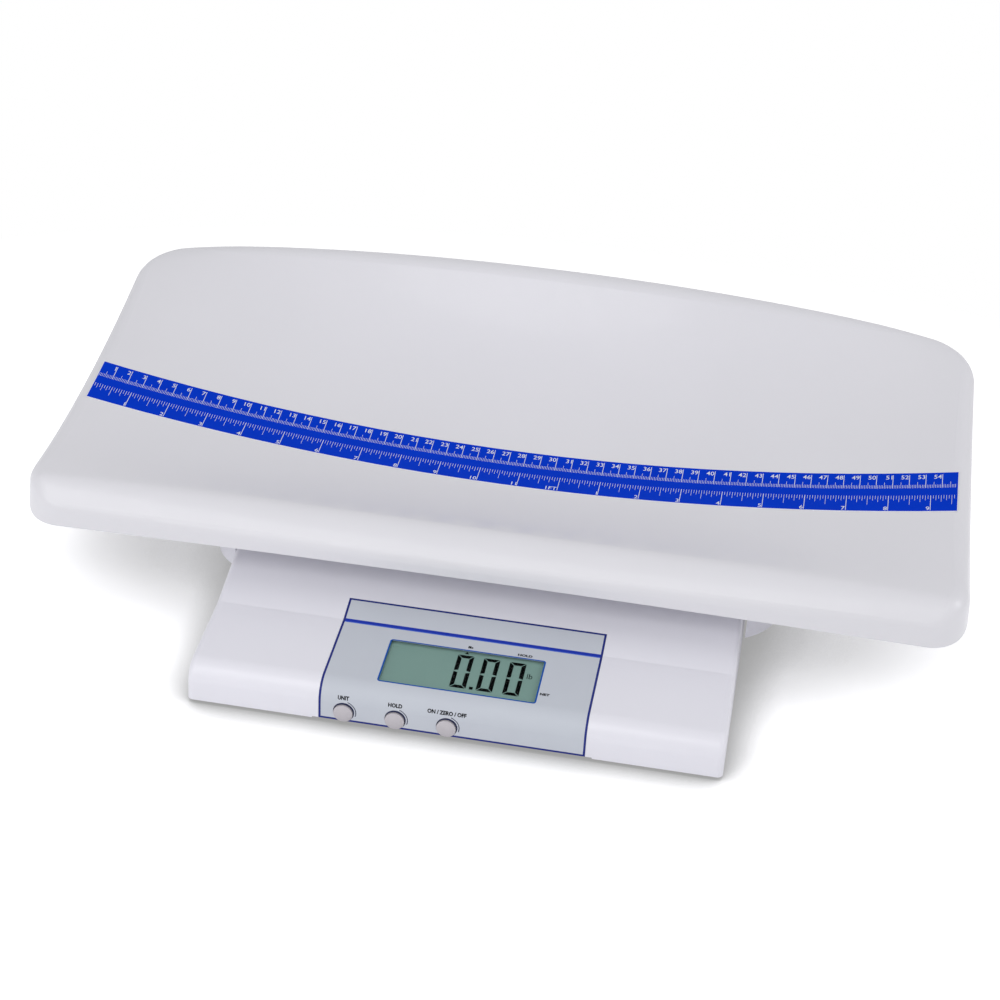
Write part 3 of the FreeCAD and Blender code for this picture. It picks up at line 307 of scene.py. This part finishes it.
# ---- finishes ----
def moulded_plastic(name, code, roughness, grain, depth, coat):
    """Moulded plastic: a little mottling, a fine grain and uneven gloss."""
    finish = Finish(name)
    base = colour(code)
    mottle = finish.noise(90 * MM, 3.0)
    wear = finish.noise(25 * MM, 4.0)
    return finish.surface(Base_Color=finish.mix(mottle, darker(base, MOTTLED), base),
                          Roughness=wear * 0.12 + (roughness - 0.06), IOR=1.5,
                          Coat_Weight=coat, Coat_Roughness=0.12,
                          Normal=finish.bump(finish.noise(grain, 3.0), depth))


def metal(name, code, roughness, grain, stretch, depth):
    """Bare metal with streaks, which are long where the stretch is below 1."""
    finish = Finish(name)
    base = colour(code)
    streaks = finish.noise(grain, 4.0, stretch)
    return finish.surface(Base_Color=finish.mix(streaks, darker(base, STREAKED), base),
                          Metallic=1.0, Roughness=streaks * 0.18 + (roughness - 0.09),
                          Normal=finish.bump(streaks, depth))


def rubber():
    """Dull black rubber with a film of dust."""
    finish = Finish("rubber")
    dust = finish.noise(12 * MM, 5.0)
    grain = finish.noise(0.5 * MM, 2.0)
    return finish.surface(Base_Color=finish.mix(dust, colour("2A2B2D"), colour("3A3B3D")),
                          Roughness=dust * 0.15 + 0.68, Normal=finish.bump(grain, 0.06 * MM))


def tape_film(box):
    """Blue printed film with a thin white edge."""
    finish = Finish("tape_film")
    x, y, _ = finish.axes()
    low, high = box
    inside = abs(x) < high.x - TAPE_MARGIN
    inside = inside * y.between(low.y + TAPE_MARGIN, high.y - TAPE_MARGIN)
    density = finish.noise(20 * MM, 4.0)
    blue = finish.mix(density, colour("0034C4"), colour("023ED6"))
    ripple = finish.noise(6 * MM, 2.0)
    return finish.surface(Base_Color=finish.mix(inside, colour("EFEFF4"), blue),
                          Roughness=density * 0.1 + 0.5, Specular_IOR_Level=0.03,
                          Normal=finish.bump(ripple, 0.03 * MM))


def panel_film(box, base_front, buttons):
    """Pale printed film: a dark border, a blue stripe, and painted shade round each button, a dark
    crescent and a thin arc that stand in for the shadow in its gap.
    """
    finish = Finish("panel_film")
    x, y, z = finish.axes()
    low, high = box
    border = (abs(x) > high.x - FILM_BORDER).higher(z < low.z + FILM_BORDER)
    border = border.higher(y > high.y - FILM_BORDER)
    wall = y < base_front + PANEL_FRONT
    painted_button_shade = 0.0
    # painted shade round each button: a dark ring off to the upper right, and a thin arc at its
    # right
    for button_x in buttons:
        across = x - (button_x + SHADE_RING_RIGHT)
        up = z - (BUTTON_Z + SHADE_RING_UP)
        reach = (across * across + up * up).sqrt()
        # painted shade: the thin dark arc that stands in for the gap at the button's right
        painted_gap_arc = reach.between(BUTTON_RADIUS + SHADE_ARC_IN, BUTTON_RADIUS + SHADE_ARC_OUT)
        painted_gap_arc = painted_gap_arc * (across > SHADE_ARC_LEFT) * (up > SHADE_ARC_LOW)
        painted_button_shade = painted_button_shade + (reach < BUTTON_RADIUS + SHADE_RING_WIDTH).higher(painted_gap_arc) * wall
    stripe = y.between(base_front + STRIPE_LOW, base_front + STRIPE_HIGH)
    fringe = y < base_front + STRIPE_MIDDLE
    cloud = finish.noise(30 * MM, 3.0)
    ground = finish.mix(cloud, colour("C8CCD6"), colour("CED3DB"))
    blue = finish.mix(fringe, colour("1432AC"), colour("3A5CCC"))
    tint = finish.mix(stripe, ground, blue)
    tint = finish.mix(border, tint, colour("1F2A7C"))
    # the painted shade round the buttons, in dark navy
    tint = finish.mix(painted_button_shade, tint, colour("1B2144"))
    grain = finish.noise(0.4 * MM, 2.0)
    return finish.surface(Base_Color=tint, Roughness=cloud * 0.08 + 0.5, Specular_IOR_Level=0.3,
                          Normal=finish.bump(grain, 0.01 * MM))


def clear_window():
    """Clear plastic, a little smeared."""
    finish = Finish("clear_window")
    smear = finish.noise(15 * MM, 4.0)
    return finish.surface(Base_Color=colour("0E1413"), Roughness=smear * 0.06 + 0.04,
                          Alpha=smear * 0.02 + 0.03, IOR=1.49)


def lcd_glass():
    """Grey-green display glass with a faint grain of the liquid crystal."""
    finish = Finish("lcd_glass")
    cloud = finish.noise(30 * MM, 3.0)
    grain = finish.noise(0.3 * MM, 1.0)
    return finish.surface(Base_Color=finish.mix(cloud, colour("83A59D"), colour("8CAEA5")),
                          Roughness=grain * 0.1 + 0.5, Specular_IOR_Level=0.2,
                          Normal=finish.bump(grain, 0.005 * MM))


def circuit_board():
    """Green solder mask over a net of fine tracks."""
    finish = Finish("circuit_board")
    cells = finish.node("ShaderNodeTexVoronoi", {"feature": "DISTANCE_TO_EDGE"},
                        Vector=finish.place, Scale=TRACKS_PER_METRE)
    track = Value(finish, cells.outputs["Distance"]) < TRACK_WIDTH
    return finish.surface(Base_Color=finish.mix(track, colour("1F5B37"), colour("2F7A4A")),
                          Roughness=track * 0.1 + 0.35, Normal=finish.bump(track, 0.03 * MM))


def battery_wrap(box):
    """Plain shrink wrap on cells in two rows, one behind the other: grey with a blue band."""
    finish = Finish("battery_wrap")
    _, y, _ = finish.axes()
    low, high = box
    row = (high.y - low.y) / 2
    band = (y - low.y) % row > row * WRAP_BAND
    scuff = finish.noise(10 * MM, 4.0)
    return finish.surface(Base_Color=finish.mix(band, colour("8C9097"), colour("3E6FA6")),
                          Metallic=0.4, Roughness=scuff * 0.15 + 0.25,
                          Normal=finish.bump(scuff, 0.02 * MM))


def ink(name, code, gloss):
    """Screen-printed ink, a little uneven."""
    finish = Finish(name)
    base = colour(code)
    speckle = finish.noise(0.8 * MM, 2.0)
    return finish.surface(Base_Color=finish.mix(speckle, base, darker(base, FADED)),
                          Roughness=speckle * 0.1 + 0.5, Specular_IOR_Level=gloss)


def floor_finish():
    """Pale paper; where it is seen it is white, with the object's shadow close round it."""
    finish = Finish("studio_floor")
    cloud = finish.noise(1.5, 2.0)
    paper = finish.node("ShaderNodeBsdfDiffuse",
                        Color=finish.mix(cloud, colour("F1F1F2"), colour("F3F3F4")))
    shade = (FLOOR_WHITE, FLOOR_WHITE, FLOOR_WHITE, 1.0)
    for distance in FLOOR_SHADES:
        shade = finish.node("ShaderNodeAmbientOcclusion", {"samples": 16}, Color=shade,
                            Distance=distance).outputs["Color"]
    near = finish.node("ShaderNodeBsdfDiffuse", Color=shade)
    white = finish.node("ShaderNodeEmission", Color=(1, 1, 1, 1), Strength=1.0)
    x, y, _ = finish.axes()
    reach = (x * x * SHADOW_SQUASH + y * y).sqrt()
    far = (reach - SHADOW_NEAR) / (SHADOW_FAR - SHADOW_NEAR)
    seen = finish.either(far.higher(SHADOW_LIFT).lower(1.0), near, white)
    return finish.closed_by(finish.either(finish.seen_or_reflected(), paper, seen))


# ---- mesh helpers ----
def finished(shape, name):
    """The mesh of a bmesh, which is freed."""
    mesh = bpy.data.meshes.new(name)
    shape.to_mesh(mesh)
    shape.free()
    return mesh


def add_marks(name, shape, body, material):
    """Adds printed marks as a piece that moves with the body they are printed on."""
    piece = bpy.data.objects.new(name, finished(shape, name))
    bpy.context.scene.collection.objects.link(piece)
    piece.data.materials.append(material)
    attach(piece, body)


def flat_rectangle(shape, x0, x1, y0, y1, along=1):
    """Adds a flat rectangle, cut along y into pieces that can follow a curved surface."""
    matrix = (Matrix.Translation(((x0 + x1) / 2, (y0 + y1) / 2, 0))
              @ Matrix.Diagonal(((x1 - x0) / 2, (y1 - y0) / 2, 1, 1)))
    bmesh.ops.create_grid(shape, x_segments=1, y_segments=along, size=1.0, matrix=matrix)


def flat_words(shape, words, height, base, at, part, bold=0.0, width=None):
    """Adds letters in the plane, standing on base, with their left, middle or right at a place."""
    text = bpy.data.curves.new("letters", "FONT")
    text.body = words
    text.size = 1.0
    text.resolution_u = 3
    text.offset = bold
    holder = bpy.data.objects.new("letters", text)
    bpy.context.scene.collection.objects.link(holder)
    bpy.context.view_layer.update()
    mesh = bpy.data.meshes.new_from_object(
        holder.evaluated_get(bpy.context.evaluated_depsgraph_get()))
    bpy.data.objects.remove(holder)
    bpy.data.curves.remove(text)
    xs = [vertex.co.x for vertex in mesh.vertices]
    ys = [vertex.co.y for vertex in mesh.vertices]
    left, low = min(xs), min(ys)
    across = max(xs) - left
    scale = height / (max(ys) - low)
    stretch = scale if width is None else width / across
    mesh.transform(Matrix.Translation((at - (left + across * part) * stretch,
                                       base - low * scale, 0))
                   @ Matrix.Diagonal((stretch, scale, 1, 1)))
    shape.from_mesh(mesh)
    bpy.data.meshes.remove(mesh)


def split_long_edges(shape, longest):
    """Cuts a flat shape up, so that it can follow a curved surface."""
    while True:
        edges = [edge for edge in shape.edges if edge.calc_length() > longest]
        if not edges:
            return
        bmesh.ops.subdivide_edges(shape, edges=edges, cuts=1)


def surface_of(node, direction):
    """A function that drops a point along direction onto a node and lifts it by INK_LIFT."""
    tree = BVHTree.FromObject(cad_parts[node], bpy.context.evaluated_depsgraph_get())
    direction = Vector(direction)

    def drop(point):
        hit = tree.ray_cast(Vector(point) - direction * RAY_START, direction)[0]
        if hit is None:
            raise ValueError("a mark on %s lies beside it, at %s" % (node, tuple(point)))
        return hit - direction * INK_LIFT

    return drop


def drape(shape, move):
    """Moves each flat point to where move says."""
    for vertex in shape.verts:
        vertex.co = move(vertex.co)


def middle_x(node):
    """Where the middle of a node lies across the object."""
    low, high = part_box(node)
    return (low.x + high.x) / 2


# ---- tape ----
def make_tape_marks(material):
    """Centimetres along the back, inches along the front, each with its numbers."""
    low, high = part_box("measuring_tape")
    bend = 2 * (high.z - low.z) / high.x ** 2            # the tape's height is bend * x * x / 2
    length = 2 * high.x * (1 + (bend * high.x) ** 2 / 6)   # first terms of its curve's length
    shape = bmesh.new()

    def tick(at, back, front, width):
        flat_rectangle(shape, at - width / 2, at + width / 2, -front, -back, TICK_PARTS)

    def number(words, at, base):
        flat_words(shape, words, NUMBER_HEIGHT, -base, at - NUMBER_GAP, RIGHT, NUMBER_BOLD)

    for count in range(1, int(length / MM)):
        at = count * MM
        whole = count % 10 == 0
        reach = CM_TICK if whole else HALF_TICK if count % 5 == 0 else MM_TICK
        tick(at, CM_BASE - reach, CM_BASE, TICK_WIDTH if whole else FINE_WIDTH)
        if whole:
            number(str(count // 10), at, CM_NUMBER_BASE)
    for count in range(1, int(length / INCH * LINES_PER_INCH)):
        at = count * INCH / LINES_PER_INCH
        lines = math.gcd(count, LINES_PER_INCH)
        whole = lines == LINES_PER_INCH
        tick(at, INCH_BASE, INCH_BASE + INCH_TICKS[lines], TICK_WIDTH if whole else FINE_WIDTH)
        if whole:
            inches = count // LINES_PER_INCH
            words = "1FT" if inches == INCHES_PER_FOOT else str(inches % INCHES_PER_FOOT)
            number(words, at, INCH_NUMBER_BASE)
    drop = surface_of("measuring_tape", (0, 0, -1))

    def onto_tape(flat):
        along = flat.x - length / 2
        x = along * (1 - (bend * along) ** 2 / 6)
        return drop((x, high.y + flat.y, high.z))

    drape(shape, onto_tape)
    add_marks("tape_marks", shape, "tray", material)


# ---- display ----
def bar(shape, x0, x1, y0, y1, inner_side, first_cut, last_cut):
    """One bar of a digit, whose inner side is shorter at each end by that end's cut."""
    corners = [Vector((x0, y0, 0)), Vector((x1, y0, 0)), Vector((x1, y1, 0)), Vector((x0, y1, 0))]
    middle = Vector(((x0 + x1) / 2, (y0 + y1) / 2, 0))
    along = Vector((1, 0, 0)) if x1 - x0 > y1 - y0 else Vector((0, 1, 0))
    for corner in corners:
        if (corner - middle).dot(inner_side) > 0:
            first = (corner - middle).dot(along) < 0
            corner += along * (first_cut if first else -last_cut)
    shape.faces.new([shape.verts.new(corner) for corner in corners])


def zero(shape, left, bottom):
    """The six lit bars of a nought; the middle bar stays dark."""
    right, top = left + DIGIT_WIDTH, bottom + DIGIT_HEIGHT
    waist = (bottom + top) / 2
    gap, stroke = SEGMENT_GAP, DIGIT_STROKE
    short = stroke * WAIST_CUT
    up, across = Vector((0, 1, 0)), Vector((1, 0, 0))
    bar(shape, left + gap, right - gap, bottom, bottom + stroke, up, stroke, stroke)
    bar(shape, left + gap, right - gap, top - stroke, top, -up, stroke, stroke)
    for side, inner_side in ((left, across), (right - stroke, -across)):
        bar(shape, side, side + stroke, bottom + gap, waist - gap, inner_side, stroke, short)
        bar(shape, side, side + stroke, waist + gap, top - gap, inner_side, short, stroke)


def make_digits(material):
    """0.00, its point, the pointer above the first digit and the unit beside the last."""
    low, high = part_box("lcd_window")
    centre_y = (low.y + high.y) / 2
    shape = bmesh.new()
    for index in range(DIGIT_COUNT):
        zero(shape, DIGIT_LEFT + index * DIGIT_PITCH, DIGIT_BOTTOM)
    point = DIGIT_LEFT + DIGIT_WIDTH + POINT_GAP
    flat_rectangle(shape, point, point + POINT_WIDTH, DIGIT_BOTTOM, DIGIT_BOTTOM + POINT_HEIGHT)
    peak = DIGIT_LEFT + DIGIT_WIDTH / 2
    foot = DIGIT_BOTTOM + DIGIT_HEIGHT + POINTER_GAP
    corners = [(peak - POINTER_HALF, foot), (peak + POINTER_HALF, foot),
               (peak, foot + POINTER_HEIGHT)]
    shape.faces.new([shape.verts.new((x, y, 0)) for x, y in corners])
    flat_words(shape, "lb", UNIT_HEIGHT, DIGIT_BOTTOM + UNIT_UP * DIGIT_HEIGHT,
               point + (DIGIT_COUNT - 1) * DIGIT_PITCH, LEFT, width=UNIT_WIDTH)
    drop = surface_of("lcd_glass", (0, 0, -1))
    drape(shape, lambda flat: drop((flat.x, centre_y + flat.y, high.z)))
    add_marks("lcd_digits", shape, "base", material)


def make_display_outline(material):
    """The printed line round the display, with rounded corners, on the film's flat top."""
    base_low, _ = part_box("panel_film")
    outside = OUTLINE_WIDTH - OUTLINE_OVER
    half_x = OPENING_HALF_X + outside
    shape = bmesh.new()
    flat_rectangle(shape, -half_x, half_x, OPENING_FRONT - outside, OPENING_BACK + outside)
    bmesh.ops.bevel(shape, geom=shape.verts[:], affect="VERTICES", offset=OUTLINE_CORNER,
                    offset_type="OFFSET", segments=5, profile=0.5, material=-1)
    inner = shape.faces[:]
    bmesh.ops.inset_region(shape, faces=inner, thickness=OUTLINE_WIDTH, use_boundary=True,
                           use_even_offset=True)
    bmesh.ops.delete(shape, geom=inner, context="FACES")
    drop = surface_of("panel_film", (0, 0, -1))
    front = drop((0, base_low.y + OPENING_FRONT - OUTLINE_WIDTH, OVER_PANEL))
    back = drop((0, base_low.y + OPENING_BACK + OUTLINE_WIDTH, OVER_PANEL))

    def onto_film(flat):
        part = (base_low.y + flat.y - front.y) / (back.y - front.y)
        return Vector((flat.x, 0, 0)) + front.lerp(back, part)

    drape(shape, onto_film)
    add_marks("display_outline", shape, "base", material)


def make_button_words(material):
    """The words over the buttons, on the panel's upright front."""
    base_low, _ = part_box("panel_film")
    shape = bmesh.new()
    for node, words, width in BUTTON_WORDS:
        flat_words(shape, words, WORD_HEIGHT, WORDS_Z, middle_x(node), MIDDLE, WORD_BOLD, width)
    split_long_edges(shape, LONGEST_EDGE)
    drop = surface_of("panel_film", (0, 1, 0))
    drape(shape, lambda flat: drop((flat.x, base_low.y, flat.y)))
    add_marks("button_words", shape, "base", material)


def make_display_words(material):
    """The small words beside the display."""
    base_low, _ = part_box("panel_film")
    shape = bmesh.new()
    for words, middle, base, width in DISPLAY_WORDS:
        flat_words(shape, words, SMALL_WORD, base, middle, MIDDLE, SMALL_BOLD, width)
    split_long_edges(shape, LONGEST_EDGE)
    drop = surface_of("panel_film", (0, 0, -1))
    drape(shape, lambda flat: drop((flat.x, base_low.y + flat.y, OVER_PANEL)))
    add_marks("display_words", shape, "base", material)


# ---- camera, light and floor ----
def make_camera():
    """The camera, in front of the scale and a little above it."""
    camera = bpy.data.objects.new("camera", bpy.data.cameras.new("camera"))
    bpy.context.scene.collection.objects.link(camera)
    camera.data.lens = CAMERA_LENS
    camera.matrix_world = (Matrix.Translation(CAMERA_PLACE)
                           @ Matrix.Rotation(math.radians(CAMERA_YAW), 4, "Z")
                           @ Matrix.Rotation(math.radians(90 - CAMERA_PITCH), 4, "X")
                           @ Matrix.Rotation(math.radians(CAMERA_ROLL), 4, "Z"))
    bpy.context.scene.camera = camera


def make_surroundings():
    """Even light from all round, which is plain white where it is seen or reflected."""
    world = bpy.data.worlds.new("studio")
    bpy.context.scene.world = world
    shader = Shader(world)
    light = shader.node("ShaderNodeBackground", Color=AMBIENT_TINT, Strength=AMBIENT)
    white = shader.node("ShaderNodeBackground", Color=(1, 1, 1, 1))
    seen = shader.either(shader.seen_or_reflected(), light, white)
    shader.node("ShaderNodeOutputWorld", None, seen.outputs[0])


def make_softbox(name, place, diameter, watts):
    """A round soft lamp that points at the object."""
    light = bpy.data.lights.new(name, "AREA")
    light.shape = "DISK"
    light.size = diameter
    light.energy = watts
    lamp = bpy.data.objects.new(name, light)
    bpy.context.scene.collection.objects.link(lamp)
    lamp.location = place
    lamp.rotation_euler = (LAMP_TARGET - Vector(place)).to_track_quat("-Z", "Y").to_euler()


def make_floor():
    """A plain floor under the feet."""
    shape = bmesh.new()
    flat_rectangle(shape, -FLOOR_HALF, FLOOR_HALF, -FLOOR_HALF, FLOOR_HALF)
    floor = bpy.data.objects.new("floor", finished(shape, "floor"))
    bpy.context.scene.collection.objects.link(floor)
    floor.data.materials.append(floor_finish())


# ---- the whole ----
def finish_nodes():
    """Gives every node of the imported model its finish, by its material slot."""
    base_low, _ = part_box("base_housing")
    buttons = [middle_x(node) for node, _, _ in BUTTON_WORDS]
    finishes = {name: moulded_plastic(name, *looks) for name, *looks in PLASTICS}
    finishes.update({name: metal(name, *looks) for name, *looks in METALS})
    finishes.update({
        "rubber": rubber(),
        "panel_film": panel_film(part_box("panel_film"), base_low.y, buttons),
        "tape_film": tape_film(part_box("measuring_tape")),
        "clear_window": clear_window(),
        "lcd_glass": lcd_glass(),
        "circuit_board": circuit_board(),
        "battery_wrap": battery_wrap(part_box("batteries")),
    })
    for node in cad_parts.values():
        for holder in node.material_slots:
            holder.material = finishes[holder.material.name.split(".")[0]]


def make_marks():
    """Everything that is printed on the tape, the display and the panel."""
    make_tape_marks(ink("tape_ink", "F4F6FF", 0.15))
    make_digits(ink("lcd_ink", "050808", 0.0))
    make_display_outline(ink("outline_ink", "245CB4", 0.05))
    black = ink("label_ink", "08080C", 0.03)
    make_button_words(black)
    make_display_words(black)


def main():
    bpy.context.scene.view_settings.view_transform = "Standard"
    make_camera()
    make_surroundings()
    for softbox in SOFTBOXES:
        make_softbox(*softbox)
    make_floor()
    finish_nodes()
    make_marks()


main()
